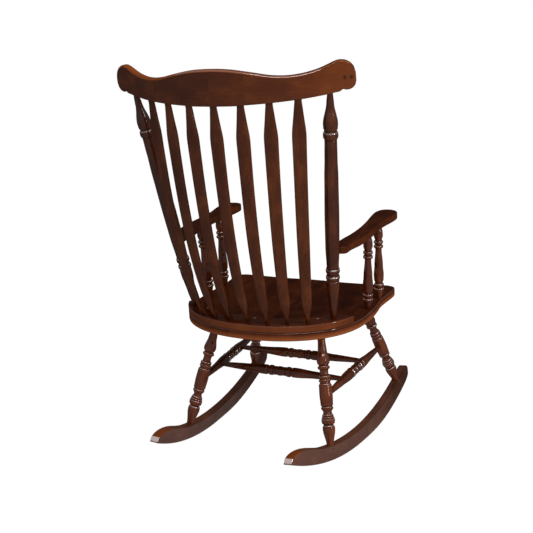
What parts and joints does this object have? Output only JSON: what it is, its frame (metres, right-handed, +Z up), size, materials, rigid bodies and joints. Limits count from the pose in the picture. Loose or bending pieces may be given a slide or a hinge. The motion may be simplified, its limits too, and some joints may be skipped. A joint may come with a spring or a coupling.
{
  "type": "boston rocking chair",
  "caption": "High-back wooden rocking chair with a shaped plank seat, bent arrow slats under an eared crest rail, turned legs and posts, flat arms and curved rockers.",
  "frame": {"origin": "on the floor, under the middle of the chair's bounding box", "axes": "+Z up, the sitter faces -Y, the sitter's left hand is on +X"},
  "size_m": [0.7078, 0.8864, 1.1191],
  "materials": {
    "plank_stain": "semi-gloss lacquer over dark walnut stain",
    "bent_stain": "semi-gloss lacquer over dark walnut stain",
    "turned_stain": "semi-gloss lacquer over dark walnut stain",
    "rocker_stain": "semi-gloss lacquer over dark walnut stain",
    "plug_stain": "semi-gloss lacquer, end grain"
  },
  "bodies": {
    "root": {"seat_plank": "plank_stain", "seat_cleat": "plank_stain", "crest_rail": "bent_stain", "arm_left": "bent_stain", "arm_right": "bent_stain", "back_slat_1": "bent_stain", "back_slat_2": "bent_stain", "back_slat_3": "bent_stain", "back_slat_4": "bent_stain", "back_slat_5": "bent_stain", "back_slat_6": "bent_stain", "back_slat_7": "bent_stain", "back_post_left": "turned_stain", "back_post_right": "turned_stain", "arm_post_front_left": "turned_stain", "arm_post_front_right": "turned_stain", "arm_post_rear_left": "turned_stain", "arm_post_rear_right": "turned_stain", "leg_front_left": "turned_stain", "leg_front_right": "turned_stain", "leg_rear_left": "turned_stain", "leg_rear_right": "turned_stain", "side_stretcher_left": "turned_stain", "side_stretcher_right": "turned_stain", "cross_stretcher_front": "turned_stain", "cross_stretcher_rear": "turned_stain", "rocker_left": "rocker_stain", "rocker_right": "rocker_stain", "post_plug_left": "plug_stain", "post_plug_right": "plug_stain", "cleat_plug_left": "plug_stain", "cleat_plug_middle": "plug_stain", "cleat_plug_right": "plug_stain"}
  },
  "joints": []
}
